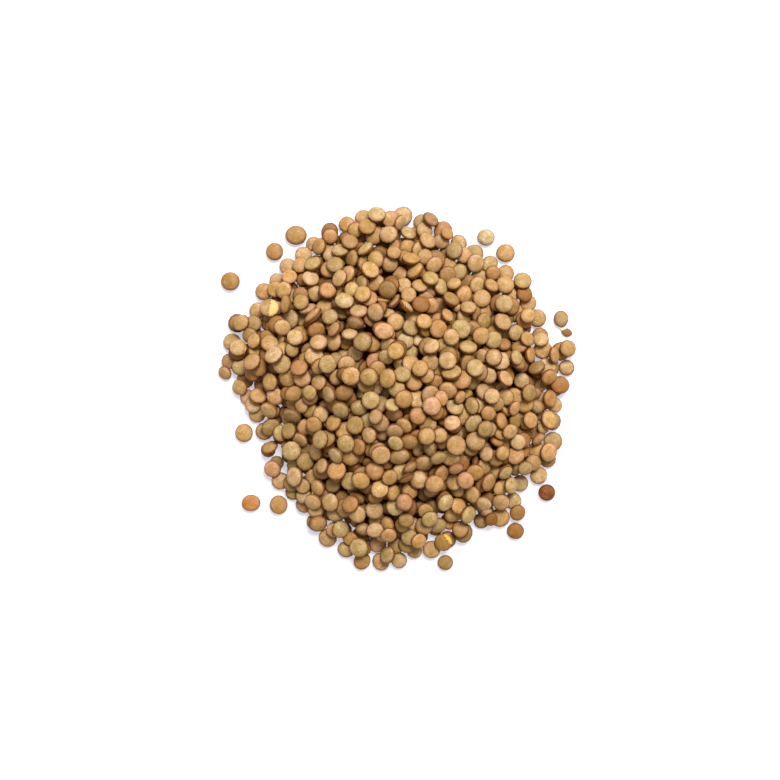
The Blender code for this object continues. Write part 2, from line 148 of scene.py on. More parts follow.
chip = {"place": (59.2, 18.9, 2.8, 4.0, -12), "thickness": 1.1 * mm}

gridSide = round(2 * pouring["gridHalf"] / pouring["cell"]) + 1
gridLine = np.linspace(-pouring["gridHalf"], pouring["gridHalf"], gridSide)
footReaches = np.array(heap["footReach"])


def footReach(angle):
    step = (np.asarray(angle) / (2 * math.pi) * len(footReaches)) % len(footReaches)
    before = np.floor(step).astype(int) % len(footReaches)
    share = step - np.floor(step)
    share = share * share * (3 - 2 * share)
    return footReaches[before] * (1 - share) + footReaches[(before + 1) % len(footReaches)] * share


def wantedHeight(x, y):
    inside = footReach(np.arctan2(y, x)) + heap["slopeOverhang"] - np.hypot(x, y)
    slope = heap["peak"] * np.tanh(math.tan(heap["slope"]) * inside / heap["peak"])
    return np.where(inside > 0, slope, 0.0)


def inwards(x, y, limits):
    # a value that changes from the heap's low edge to its inside
    low, high = pouring["looseFrom"]
    share = min(max((float(wantedHeight(x, y)) - low) / (high - low), 0), 1)
    return limits[0] + share * (limits[1] - limits[0])


def facing(leanX, leanY):
    size = math.sqrt(1 + leanX * leanX + leanY * leanY)
    return (leanX / size, leanY / size, 1 / size)


def lensFaces(dx, dy, radius, half, axis):
    # heights of the lower and upper face of a leaning lens, and where it lies
    flat = 1 / radius ** 2
    thin = 1 / half ** 2 - flat
    ax, ay, az = axis
    upright = flat + thin * az * az
    cross = thin * az * (ax * dx + ay * dy)
    level = flat * (dx * dx + dy * dy) + thin * (ax * dx + ay * dy) ** 2 - 1
    under = cross * cross - upright * level
    root = np.sqrt(np.where(under > 0, under, 0))
    return (-cross - root) / upright, (-cross + root) / upright, under > 0


def gridIndex(length):
    return int(round((length + pouring["gridHalf"]) / pouring["cell"]))


class Pour:
    # lentils dropped one after another on a grid of heights

    def __init__(self):
        self.draw = np.random.RandomState(pouring["seed"])
        self.ground = np.zeros((gridSide, gridSide))
        self.lentils = []

    def faces(self, x, y, size, axis):
        columns = slice(gridIndex(x - size[0]) - 1, gridIndex(x + size[0]) + 2)
        rows = slice(gridIndex(y - size[0]) - 1, gridIndex(y + size[0]) + 2)
        dx = gridLine[columns][None, :] - x
        dy = gridLine[rows][:, None] - y
        return rows, columns, lensFaces(dx, dy, size[0], size[1], axis)

    def restHeight(self, x, y, size, lean):
        rows, columns, (lower, _, lies) = self.faces(x, y, size, facing(*lean))
        return float(np.max(np.where(lies, self.ground[rows, columns] - lower, -1)))

    def slopeAt(self, x, y):
        row, column, step = gridIndex(y), gridIndex(x), pouring["slopeStep"]
        across = self.ground[row, column + step] - self.ground[row, column - step]
        along = self.ground[row + step, column] - self.ground[row - step, column]
        return across / (2 * step * pouring["cell"]), along / (2 * step * pouring["cell"])

    def drawnSize(self):
        low, high = lentil["acrossLimits"]
        across = min(max(self.draw.normal(lentil["across"], lentil["acrossSpread"]), low), high)
        share = lentil["thicknessShare"] * self.draw.uniform(*lentil["thicknessLimits"])
        return across / 2, across / 2 * share

    def drawnLean(self):
        direction = self.draw.uniform(0, 2 * math.pi)
        steepness = math.tan(math.radians(self.draw.uniform(*pouring["leanLimits"])))
        return steepness * math.cos(direction), steepness * math.sin(direction)

    def settle(self, x, y, size, lean, slide, turn, rounds):
        # slides and tilts a lens step by step to where it lies lowest
        leanX, leanY = lean
        z = self.restHeight(x, y, size, lean)
        for _ in range(rounds):
            for side, way in ((0, 1), (0, -1), (1, 1), (1, -1), (2, 1), (2, -1), (3, 1), (3, -1)):
                move = [0.0, 0.0, 0.0, 0.0]
                move[side] = way * (slide if side < 2 else turn)
                if move[side] == 0:
                    continue
                tried = (x + move[0], y + move[1], leanX + move[2], leanY + move[3])
                lower = self.restHeight(tried[0], tried[1], size, tried[2:])
                if lower < z - 1e-9:
                    x, y, leanX, leanY = tried
                    z = lower
            slide *= pouring["settleShrink"]
            turn *= pouring["settleShrink"]
        return x, y, z, facing(leanX, leanY)

    def clearOfStrays(self, x, y, radius):
        for strayX, strayY, width, length, *_ in (*strays.values(), chip["place"]):
            gap = math.hypot(x - strayX * mm, y - strayY * mm) - radius - max(width, length) * mm / 2
            if gap < pouring["strayGap"]:
                return False
        return True

    def drop(self, x, y, size, lean, slide=0.0, turn=0.0, rounds=0,
             pressed=0.0, proud=math.inf, look=None):
        # a lentil that would touch a stray or stand too proud isn't kept
        x, y, z, axis = self.settle(x, y, size, lean, slide, turn, rounds)
        z -= pressed * (1 - axis[2])
        if not self.clearOfStrays(x, y, size[0]) or z - float(wantedHeight(x, y)) > proud:
            return False
        rows, columns, (_, upper, lies) = self.faces(x, y, size, axis)
        ground = self.ground[rows, columns]
        top = np.where(lies, z + upper, -1)
        higher = top > ground
        ground[higher] = top[higher]
        self.lentils.append((x, y, z, size, axis, look))
        return True

    def layRow(self, depth, spread, **loose):
        # lentils side by side along the outline, or a little inside it
        angle = 0.0
        while angle < 2 * math.pi - pouring["rowEnd"]:
            size = self.drawnSize()
            reach = float(footReach(angle)) - depth + self.draw.uniform(*spread)
            while not self.drop(reach * math.cos(angle), reach * math.sin(angle), size, (0, 0), **loose):
                reach -= pouring["rowStep"]
            angle += 2 * size[0] / reach * self.draw.uniform(*pouring["rowSpacing"])

    def spots(self):
        share = self.draw.uniform(0, 1, pouring["spotsTried"])
        angle = self.draw.uniform(0, 2 * math.pi, pouring["spotsTried"])
        reach = (footReach(angle) + pouring["spotsReach"]) * np.sqrt(share)
        xs, ys = reach * np.cos(angle), reach * np.sin(angle)
        rows = np.round((ys + pouring["gridHalf"]) / pouring["cell"]).astype(int)
        columns = np.round((xs + pouring["gridHalf"]) / pouring["cell"]).astype(int)
        wanted = wantedHeight(xs, ys)
        return xs, ys, wanted, wanted - self.ground[rows, columns]

    def alongSlope(self, x, y, limits, leanX=0.0, leanY=0.0):
        # a lean that also follows the slope, by a share that grows from the edge inwards
        slopeX, slopeY = self.slopeAt(x, y)
        follow = inwards(x, y, limits)
        return leanX - follow * slopeX, leanY - follow * slopeY

    def dropLoose(self, x, y, size, scatter, **loose):
        # drops a lentil along the slope, or now and then leaning
        if self.draw.uniform() < inwards(x, y, pouring["leaningShare"]):
            lean = self.alongSlope(x, y, pouring["leaningSlope"], *self.drawnLean())
            self.drop(x, y, size, lean, proud=pouring["proud"], **drops["leaning"])
            return
        lean = self.alongSlope(x, y, pouring["slopeFollowed"], *self.draw.normal(0, scatter, 2))
        self.drop(x, y, size, lean, proud=pouring["proud"], **loose)

    def roomFor(self, x, y, wanted, size):
        # how far a lentil lying along the slope would stay under the wanted surface
        lean = self.alongSlope(x, y, pouring["slopeFollowed"])
        return wanted - self.restHeight(x, y, size, lean) - pouring["roomShare"] * size[1]

    def pourDeep(self):
        # drops lentils where the heap lacks most
        misses = 0
        while misses < pouring["missesAllowed"]:
            misses += 1
            xs, ys, wanted, lack = self.spots()
            size = self.drawnSize()
            for spot in np.argsort(-lack)[:pouring["spotsKept"]]:
                if lack[spot] < pouring["pourUntil"]:
                    break
                if self.roomFor(xs[spot], ys[spot], wanted[spot], size) > pouring["fillUntil"]:
                    self.dropLoose(xs[spot], ys[spot], size, **drops["deep"])
                    misses = 0
                    break

    def fillHollows(self):
        # drops lentils where they lie lowest under the wanted surface
        misses = 0
        while misses < pouring["missesAllowed"]:
            misses += 1
            xs, ys, wanted, lack = self.spots()
            size = self.drawnSize()
            lowest = np.argsort(-lack)[:pouring["spotsKept"]]
            room, spot = max((self.roomFor(xs[k], ys[k], wanted[k], size), k) for k in lowest)
            if room > pouring["fillUntil"]:
                self.dropLoose(xs[spot], ys[spot], size, **drops["hollow"])
                misses = 0

    def strewTop(self):
        # a last loose layer, spread evenly round the marked lentils
        spots = [(one[0] * mm, one[1] * mm) for one in marked]
        for _ in range(pouring["topTries"]):
            angle = self.draw.uniform(0, 2 * math.pi)
            reach = (float(footReach(angle)) - pouring["topInset"]) * math.sqrt(self.draw.uniform(0, 1))
            x, y = reach * math.cos(angle), reach * math.sin(angle)
            if all(math.hypot(x - nearX, y - nearY) >= pouring["topSpacing"] for nearX, nearY in spots):
                spots.append((x, y))
        for x, y in spots[len(marked):]:
            self.dropLoose(x, y, self.drawnSize(), **drops["top"])

    def placeMarked(self):
        for x, y, across, lean, direction, *look in marked:
            slope = math.tan(math.radians(lean))
            turn = math.radians(direction)
            size = (across * mm / 2, across * mm / 2 * lentil["thicknessShare"])
            lean = (slope * math.cos(turn), slope * math.sin(turn))
            self.drop(x * mm, y * mm, size, lean, look=look, **drops["marked"])

    def run(self):
        self.layRow(0, pouring["rimSpread"])
        self.layRow(pouring["rowDepth"], pouring["rowSpread"], **drops["row"])
        wanted = wantedHeight(*np.meshgrid(gridLine, gridLine))
        core = np.where(wanted < heap["heartStart"], 0, wanted - heap["heartDepth"])
        self.ground = np.maximum(self.ground, core)
        self.pourDeep()
        self.placeMarked()
        self.fillHollows()
        self.strewTop()


# Forms: one lens of unit size each, copied for every lentil. The profile gives two rings of its
# upper face by radius and height, and the squeeze its length and width.
forms = {
    "plump": {
        "share": 0.30, "profile": ((0.94, 0.42), (0.62, 0.80)), "pole": 0.92,
        "squeeze": (1.0, 1.0), "rough": 0.012},
    "oval": {
        "share": 0.18, "profile": ((0.93, 0.40), (0.60, 0.77)), "pole": 0.90,
        "squeeze": (1.04, 0.95), "rough": 0.015},
    "dimpled": {
        "share": 0.12, "profile": ((0.94, 0.44), (0.56, 0.84)), "pole": 0.72,
        "squeeze": (1.0, 0.98), "rough": 0.015},
    "flat": {
        "share": 0.16, "profile": ((0.94, 0.46), (0.68, 0.72)), "pole": 0.78,
        "squeeze": (1.01, 0.99), "rough": 0.018},
    "uneven": {
        "share": 0.10, "profile": ((0.93, 0.43), (0.58, 0.82)), "pole": 0.88,
        "squeeze": (0.99, 0.97), "rough": 0.04},
    "sharp": {
        "share": 0.13, "profile": ((0.88, 0.32), (0.52, 0.74)), "pole": 0.95,
        "squeeze": (1.0, 0.97), "rough": 0.02},
    "notched": {
        "share": 0.01, "profile": ((0.93, 0.43), (0.62, 0.80)), "pole": 0.90,
        "squeeze": (1.06, 0.92), "rough": 0.05},
}
shaping = {
    "copySides": 12,
    "straySides": 28,
    # first seeds of the rough shapes of the heap's lentils and of the strays
    "copySeed": 3,
    "straySeed": 20,
}


def deselectAll():
    if bpy.context.object and bpy.context.object.mode != "OBJECT":
        bpy.ops.object.mode_set(mode="OBJECT")
    bpy.ops.object.select_all(action="DESELECT")


def selectOnly(pieces):
    deselectAll()
    for piece in pieces:
        piece.select_set(True)
    bpy.context.view_layer.objects.active = pieces[0]


def modelLens(name, form, sides, seed):
    # rings of the upper face are extruded from the rim, and the lower face mirrors them
    deselectAll()
    bpy.ops.mesh.primitive_circle_add(vertices=sides, radius=1, location=(0, 0, 0))
    lens = bpy.context.active_object
    lens.name = lens.data.name = name
    bpy.ops.object.mode_set(mode="EDIT")
    bpy.ops.mesh.select_all(action="SELECT")
    radius, height = 1.0, 0.0
    for nextRadius, nextHeight in form["profile"]:
        bpy.ops.mesh.extrude_edges_move(TRANSFORM_OT_translate={"value": (0, 0, nextHeight - height)})
        bpy.ops.transform.resize(value=(nextRadius / radius, nextRadius / radius, 1))
        radius, height = nextRadius, nextHeight
    bpy.ops.mesh.extrude_edges_move(TRANSFORM_OT_translate={"value": (0, 0, form["pole"] - height)})
    bpy.ops.mesh.merge(type="CENTER")
    bpy.ops.object.mode_set(mode="OBJECT")
    mirror = lens.modifiers.new("Lower face", "MIRROR")
    mirror.use_axis = (False, False, True)
    mirror.merge_threshold = 0.001
    bpy.ops.object.modifier_apply(modifier=mirror.name)
    bpy.ops.object.mode_set(mode="EDIT")
    bpy.ops.mesh.select_all(action="SELECT")
    bpy.ops.transform.resize(value=(form["squeeze"][0], form["squeeze"][1], 1))
    bpy.ops.transform.vertex_random(offset=form["rough"], uniform=0.3, seed=seed)
    bpy.ops.mesh.normals_make_consistent(inside=False)
    bpy.ops.object.mode_set(mode="OBJECT")
    bpy.ops.object.shade_smooth()
    return lens


def setAttributes(mesh, tone):
    # the lens's own coordinates and its tone, for its skin
    count = len(mesh.vertices)
    places = np.empty(3 * count, np.float32)
    mesh.vertices.foreach_get("co", places)
    own = mesh.attributes.new("ownPlace", "FLOAT_VECTOR", "POINT")
    own.data.foreach_set("vector", places)
    shade = mesh.attributes.new("ownTone", "FLOAT_COLOR", "POINT")
    shade.data.foreach_set("color", np.tile(np.array(tone, np.float32), count))


def leanMatrix(axis, spin):
    lean = Vector((0, 0, 1)).rotation_difference(Vector(axis)).to_matrix().to_4x4()
    return lean @ Matrix.Rotation(spin, 4, "Z")


def placeCopy(form, place, tone):
    copy = bpy.data.objects.new(form.name, form.data.copy())
    bpy.context.collection.objects.link(copy)
    setAttributes(copy.data, tone)
    copy.data.transform(place)
    return copy


# Kinds of skin: share of the heap, and two colours between which each lentil's own lies
kinds = {
    "tan": {"share": 0.57, "colours": ((0.440, 0.240, 0.084), (0.414, 0.243, 0.115))},
    "olive": {"share": 0.26, "colours": ((0.373, 0.226, 0.080), (0.380, 0.241, 0.108))},
    "amber": {"share": 0.155, "colours": ((0.425, 0.214, 0.071), (0.445, 0.228, 0.102))},
    "rosy": {"share": 0.015, "colours": ((0.49, 0.250, 0.128), (0.44, 0.220, 0.108))},
    "rust": {"share": 0.0, "colours": ((0.50, 0.220, 0.070), (0.19, 0.053, 0.009))},
    "chipped": {"share": 0.0, "colours": ((0.43, 0.240, 0.078), (0.41, 0.245, 0.120))},
    "striped": {"share": 0.0, "colours": ((0.55, 0.33, 0.15), (0.66, 0.44, 0.24))},
}
# Patterns of the seed coat in a lentil's own coordinates, where it is 2 wide:
# scale and detail of the noise, and the values between which it shows
patterns = {
    "patches": (1.5, 2.0, 0.3, 0.7),
    "grain": (9.0, 3.0, 0.3, 0.7),
    "flecks": (6.0, 3.0, 0.56, 0.74),
    "wrinkles": (3.2, 4.0),
    "apart": 61.0,  # how far apart the patterns of two lentils may lie
    "outer": (0.25, 0.85),  # distances from the centre between which the outer tint sets in
    "rim": (0.62, 0.1),  # heights over the rim between which the painted shade along the lens's edge sets in
}
skin = {
    "patchLight": 0.26,  # how much lighter or darker the patches and the grain are
    "grainLight": 0.38,
    "deepening": 0.62,  # how much deeper, rather than greyer, the colour gets where it is darker
    "fullShadeLightness": 0.6,  # where the whole of the next tint is reached; painted shade of buried lentils, which also deepens lentils whose own tone is darker
    "buriedShadeTint": (0.60, 0.50, 0.37),
    "centreTint": (0.92, 1.01, 0.78),
    "outerTint": (1.02, 0.97, 1.06),
    "patchShare": 0.65,  # how far the tint follows the patches, and not the distance from the centre
    "rimShadeTint": (0.36, 0.215, 0.10),
    "fleckDepth": 0.3,
    "roughness": (0.45, 0.62),
    "specular": 0.2,
    "bump": 0.45,
    "bumpHeight": 0.25 * mm,
}
bare = {
    "yellows": ((0.66, 0.355, 0.05), (0.70, 0.43, 0.17)),  # from a deep one to a pale one
    "coatEdge": (0.35, 0.24, 0.12),
    "edgeWidth": 0.12,
    "edgeBlur": 0.05,
    "raggedness": 0.32,
}
stripes = {"scale": 1.3, "waver": 1.5, "tint": (0.42, 0.30, 0.17)}


def fill(tree, socket, value):
    # a socket takes another node's output, or a value of its own
    if isinstance(value, bpy.types.NodeSocket):
        tree.links.new(value, socket)
    else:
        socket.default_value = value


def maths(tree, operation, *values):
    node = tree.nodes.new("ShaderNodeMath")
    node.operation = operation
    for socket, value in zip(node.inputs, values):
        fill(tree, socket, value)
    return node.outputs["Value"]


def ranged(tree, value, low, high, toLow=0.0, toHigh=1.0, smooth=False):
    node = tree.nodes.new("ShaderNodeMapRange")
    node.interpolation_type = "SMOOTHSTEP" if smooth else "LINEAR"
    for socket, given in zip(node.inputs, (value, low, high, toLow, toHigh)):
        fill(tree, socket, given)
    return node.outputs["Result"]


def mixed(tree, blend, factor, first, second):
    node = tree.nodes.new("ShaderNodeMix")
    node.data_type = "RGBA"
    node.blend_type = blend
    for name, value in (("Factor", factor), ("A", first), ("B", second)):
        fill(tree, node.inputs[name], value)
    return node.outputs["Result"]


def noise(tree, place, scale, detail, *shown):
    # the two values between which it shows, where they are given, become 0 and 1
    node = tree.nodes.new("ShaderNodeTexNoise")
    node.inputs["Scale"].default_value = scale
    node.inputs["Detail"].default_value = detail
    tree.links.new(place, node.inputs["Vector"])
    return ranged(tree, node.outputs["Fac"], *shown) if shown else node.outputs["Fac"]


def attribute(tree, name):
    node = tree.nodes.new("ShaderNodeAttribute")
    node.attribute_name = name
    return node


def makeSkinGroup():
    # soft patches, grain, flecks and wrinkles of a dry seed coat, in the lentil's own coordinates, and
    # masks for the outer zone and for the painted shade along the rim
    group = bpy.data.node_groups.new("seedCoat", "ShaderNodeTree")
    for name, kind in (("Place", "NodeSocketVector"), ("Seed", "NodeSocketFloat")):
        group.interface.new_socket(name=name, in_out="INPUT", socket_type=kind)
    inlet = group.nodes.new("NodeGroupInput")
    outlet = group.nodes.new("NodeGroupOutput")
    moved = group.nodes.new("ShaderNodeVectorMath")
    moved.operation = "ADD"
    group.links.new(inlet.outputs["Place"], moved.inputs[0])
    group.links.new(maths(group, "MULTIPLY", inlet.outputs["Seed"], patterns["apart"]), moved.inputs[1])
    flat = group.nodes.new("ShaderNodeVectorMath")
    flat.operation = "MULTIPLY"
    flat.inputs[1].default_value = (1, 1, 0)
    group.links.new(inlet.outputs["Place"], flat.inputs[0])
    reach = group.nodes.new("ShaderNodeVectorMath")
    reach.operation = "LENGTH"
    group.links.new(flat.outputs[0], reach.inputs[0])
    apart = group.nodes.new("ShaderNodeSeparateXYZ")
    group.links.new(inlet.outputs["Place"], apart.inputs[0])
    aboveRim = maths(group, "ABSOLUTE", apart.outputs["Z"])
    own = moved.outputs[0]
    results = {
        "Patches": noise(group, own, *patterns["patches"]),
        "Grain": noise(group, own, *patterns["grain"]),
        "Flecks": noise(group, own, *patterns["flecks"]),
        "Wrinkles": noise(group, own, *patterns["wrinkles"]),
        "Outer": ranged(group, reach.outputs["Value"], *patterns["outer"], smooth=True),
        "RimShade": ranged(group, aboveRim, *patterns["rim"], smooth=True),
    }
    for name, result in results.items():
        group.interface.new_socket(name=name, in_out="OUTPUT", socket_type="NodeSocketFloat")
        group.links.new(result, outlet.inputs[name])
    return group


def placeCoat(tree, seedCoat, place, seed):
    coat = tree.nodes.new("ShaderNodeGroup")
    coat.node_tree = seedCoat
    fill(tree, coat.inputs["Place"], place)
    fill(tree, coat.inputs["Seed"], seed)
    return coat.outputs


def around(tree, pattern, amount):
    # turns a pattern into a factor a little below or above 1
    return ranged(tree, pattern, 0.0, 1.0, 1 - amount, 1 + amount)


def bareSide(tree, place, reached, shade, coat, skinColour):
    # the yellow inside of the seed shows on one side, behind the ragged dark edge of the coat
    apart = tree.nodes.new("ShaderNodeSeparateXYZ")
    tree.links.new(place, apart.inputs[0])
    ragged = maths(tree, "MULTIPLY_ADD", coat["Grain"], bare["raggedness"], apart.outputs["X"])
    torn = maths(tree, "MULTIPLY_ADD", reached, 2.0, ragged)
    start = 1.0 + bare["raggedness"] / 2
    edge = ranged(tree, torn, start - bare["edgeWidth"], start)
    edged = mixed(tree, "MULTIPLY", edge, skinColour, (*bare["coatEdge"], 1))
    deep, pale = bare["yellows"]
    yellow = mixed(tree, "MIX", shade, (*deep, 1), (*pale, 1))
    return mixed(tree, "MIX", ranged(tree, torn, start, start + bare["edgeBlur"]), edged, yellow)


def striped(tree, place, skinColour):
    # fine dark stripes across the edge
    wave = tree.nodes.new("ShaderNodeTexWave")
    wave.bands_direction = "X"
    wave.inputs["Scale"].default_value = stripes["scale"]
    wave.inputs["Distortion"].default_value = stripes["waver"]
    tree.links.new(place, wave.inputs["Vector"])
    return mixed(tree, "MULTIPLY", wave.outputs["Fac"], skinColour, (*stripes["tint"], 1))


def lentilSkin(name, kind, seedCoat):
    # yellower in the middle and paler outside, and where it is darker its colour is deeper too
    material = bpy.data.materials.new(name)
    material.use_nodes = True
    tree = material.node_tree
    shader = tree.nodes["Principled BSDF"]
    shader.inputs["Specular IOR Level"].default_value = skin["specular"]
    place = attribute(tree, "ownPlace").outputs["Vector"]
    tone = attribute(tree, "ownTone")
    tones = tree.nodes.new("ShaderNodeSeparateColor")
    tree.links.new(tone.outputs["Color"], tones.inputs["Color"])
    lightness, shade, seed = tones.outputs
    coat = placeCoat(tree, seedCoat, place, seed)

    first, second = kinds[kind]["colours"]
    own = mixed(tree, "MIX", shade, (*first, 1), (*second, 1))
    patches = maths(tree, "MULTIPLY", coat["Patches"], skin["patchShare"])
    warmth = maths(tree, "MULTIPLY_ADD", coat["Outer"], 1 - skin["patchShare"], patches)
    tint = mixed(tree, "MIX", warmth, (*skin["centreTint"], 1), (*skin["outerTint"], 1))
    tinted = mixed(tree, "MULTIPLY", 1.0, own, tint)

    light = maths(tree, "MULTIPLY", lightness, around(tree, coat["Patches"], skin["patchLight"]))
    light = maths(tree, "MULTIPLY", light, around(tree, coat["Grain"], skin["grainLight"]))
    depth = maths(tree, "MULTIPLY_ADD", light, -skin["deepening"], 1 + skin["deepening"])
    depth = maths(tree, "MULTIPLY_ADD", coat["Flecks"], skin["fleckDepth"], depth)
    deepened = tree.nodes.new("ShaderNodeGamma")
    tree.links.new(tinted, deepened.inputs["Color"])
    tree.links.new(depth, deepened.inputs["Gamma"])
    # painted shade: the lower a lentil's lightness, from lying deep under others or from its own darker
    # tone, the more of the shade tint
    buried = ranged(tree, lightness, 1.0, skin["fullShadeLightness"])
    shadeTinted = mixed(tree, "MULTIPLY", buried, deepened.outputs["Color"], (*skin["buriedShadeTint"], 1))
    # painted shade: the band round the lens's edge is darkened, like the dark gaps where lentils meet
    skinColour = mixed(tree, "MULTIPLY", coat["RimShade"], shadeTinted, (*skin["rimShadeTint"], 1))
    if kind == "chipped":
        skinColour = bareSide(tree, place, tone.outputs["Alpha"], shade, coat, skinColour)
    if kind == "striped":
        skinColour = striped(tree, place, skinColour)
    tree.links.new(skinColour, shader.inputs["Base Color"])

    roughness = ranged(tree, coat["Wrinkles"], 0.0, 1.0, *skin["roughness"])
    tree.links.new(roughness, shader.inputs["Roughness"])
    bump = tree.nodes.new("ShaderNodeBump")
    bump.inputs["Strength"].default_value = skin["bump"]
    bump.inputs["Distance"].default_value = skin["bumpHeight"]
    tree.links.new(coat["Wrinkles"], bump.inputs["Height"])
    tree.links.new(bump.outputs["Normal"], shader.inputs["Normal"])
    return material


seedCoat = makeSkinGroup()
skins = {kind: lentilSkin(kind + "Skin", kind, seedCoat) for kind in kinds}
print("skins made")

lensForms = {}
for name, form in forms.items():
    seed = shaping["copySeed"] + len(lensForms)
    lensForms[name] = modelLens(name + "Lens", form, shaping["copySides"], seed)
print("lentil forms modelled")

pour = Pour()
pour.run()
print("lentils poured:", len(pour.lentils))


# The heap: a joined piece for each kind of skin
toning = {
    "seed": 11,
    "lightnessSpread": 0.085,
    "lightnessLimits": (0.75, 1.25),
    "underShade": 0.35,  # painted shade: how much darker a lentil is made that lies this deep under others
    "fullUnderShadeDepth": 5 * mm,
}


def drawTone(draw):
    # lightness, place between the kind's two colours, seed of its pattern, share without skin
    low, high = toning["lightnessLimits"]
    lightness = min(max(draw.normal(1.0, toning["lightnessSpread"]), low), high)
    return [lightness, draw.uniform(), draw.uniform(), 0.0]


def shadeUnderOthers(x, y, z, half):
    # painted shade: lentils deep between others are made darker
    buried = pour.ground[gridIndex(y), gridIndex(x)] - (z + half)
    return 1 - toning["underShade"] * min(max(buried / toning["fullUnderShadeDepth"], 0), 1)


tones = np.random.RandomState(toning["seed"])
byKind = {}
for x, y, z, (radius, half), axis, look in pour.lentils:
    kind = tones.choice(list(kinds), p=[one["share"] for one in kinds.values()])
    form = lensForms[tones.choice(list(forms), p=[one["share"] for one in forms.values()])]
    spin = tones.uniform(0, 2 * math.pi)
    tone = drawTone(tones)
    # painted shade: a lentil deep under others gets a lower lightness
    tone[0] *= shadeUnderOthers(x, y, z, half)
    if look:
        formName, kind, spin, tone[0], tone[1], tone[3] = look
        form = lensForms[formName]
        spin = math.radians(spin)
    place = Matrix.Translation(Vector((x, y, z)) + heap["toOrigin"]) @ leanMatrix(axis, spin)
    place = place @ Matrix.Diagonal((radius, radius, half, 1))
    byKind.setdefault(kind, []).append(placeCopy(form, place, tone))

for kind, copies in byKind.items():
    selectOnly(copies)
    if len(copies) > 1:
        bpy.ops.object.join()
    piece = bpy.context.active_object
    piece.name = piece.data.name = kind + "Lentils"
    piece.data.materials.clear()
    piece.data.materials.append(skins[kind])
    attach(piece, "root")
    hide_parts("lentil_heap")
print("heap joined")


# The strays: the same lens with more sides, each a piece of its own
for number, (name, stray) in enumerate(strays.items()):
    x, y, width, length, turn, formName, kind, lightness, shade = stray
    half = (width + length) / 4 * mm * lentil["thicknessShare"]
    seed = shaping["straySeed"] + number
    lens = modelLens(name + "Lens", forms[formName], shaping["straySides"], seed)
    lens.name = lens.data.name = name.replace("_", "") + "Lentil"
    setAttributes(lens.data, (lightness, shade, number / len(strays), 0))
    place = Matrix.Translation(Vector((x * mm, y * mm, half)) + heap["toOrigin"])
    turned = Matrix.Rotation(math.radians(turn), 4, "Z")
    lens.data.transform(place @ turned @ Matrix.Diagonal((length * mm / 2, width * mm / 2, half, 1)))
    lens.data.materials.append(skins[kind])
    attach(lens, "root")
    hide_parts(name)
print("strays laid")


# The chip of husk: a thin brown flake, and a bit of its pale inner side that stands up behind it
husk = {
    "outer": (0.24, 0.10, 0.028),
    "inner": (0.80, 0.68, 0.48),
    "flecked": (0.5, 0.42, 0.35),
    "roughness": 0.7,
    "patternSeed": 0.3,
    "middle": 1.12,  # how much wider the flake is in the middle, and how much narrower at its ends
    "taper": 0.5,
    "sides": 14,
    "shapeSeed": 40,
    "bit": {"place": (-1.25, 1.15), "size": (2.7, 1.5), "thickness": 0.9 * mm},  # from the flake's middle
}


def huskSkin():
    # brown, or pale where the flake's own tone says so
    material = bpy.data.materials.new("huskSkin")
    material.use_nodes = True
    tree = material.node_tree
    shader = tree.nodes["Principled BSDF"]
    shader.inputs["Roughness"].default_value = husk["roughness"]
    shader.inputs["Specular IOR Level"].default_value = skin["specular"]
    place = attribute(tree, "ownPlace").outputs["Vector"]
    coat = placeCoat(tree, seedCoat, place, husk["patternSeed"])
    pale = attribute(tree, "ownTone").outputs["Fac"]
    colour = mixed(tree, "MIX", pale, (*husk["outer"], 1), (*husk["inner"], 1))
    shaded = mixed(tree, "MULTIPLY", coat["Flecks"], colour, (*husk["flecked"], 1))
    tree.links.new(shaded, shader.inputs["Base Color"])
    return material


def layFlake(x, y, width, length, thickness, turn, pale):
    flake = modelLens("huskFlake", forms["uneven"], husk["sides"], husk["shapeSeed"])
    for vertex in flake.data.vertices:
        vertex.co.y *= husk["middle"] - husk["taper"] * vertex.co.x ** 2
    setAttributes(flake.data, (pale, pale, pale, 0))
    place = Matrix.Translation(Vector((x * mm, y * mm, thickness / 2)) + heap["toOrigin"])
    turned = Matrix.Rotation(math.radians(turn), 4, "Z")
    size = Matrix.Diagonal((length * mm / 2, width * mm / 2, thickness / 2, 1))
    flake.data.transform(place @ turned @ size)
    return flake


x, y, width, length, turn = chip["place"]
bit = husk["bit"]
bitX, bitY = x + bit["place"][0], y + bit["place"][1]
flake = layFlake(x, y, width, length, chip["thickness"], turn, 0)
paleBit = layFlake(bitX, bitY, bit["size"][1], bit["size"][0], bit["thickness"], turn, 1)
selectOnly([flake, paleBit])
bpy.ops.object.join()
flake.data.materials.append(huskSkin())
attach(flake, "root")
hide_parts("husk_chip")
print("husk chip laid")


# The heart: a dark core, painted shade that shows between the lentils where deeper lentils lie in shade
heart = {
    "sides": 60,
    "rings": 24,
    "sink": 0.3 * mm,
    "lowest": 0.2 * mm,
    # painted shade: near-black browns, darker towards the edges of the cells
    "dark": (0.05, 0.016, 0.003),
    "light": (0.12, 0.045, 0.01),
    "roughness": 0.8,
    "specular": 0.05,
    "cells": 190.0,  # to a metre, about a lentil's width apart
    "cellHeight": 1.2 * mm,
}


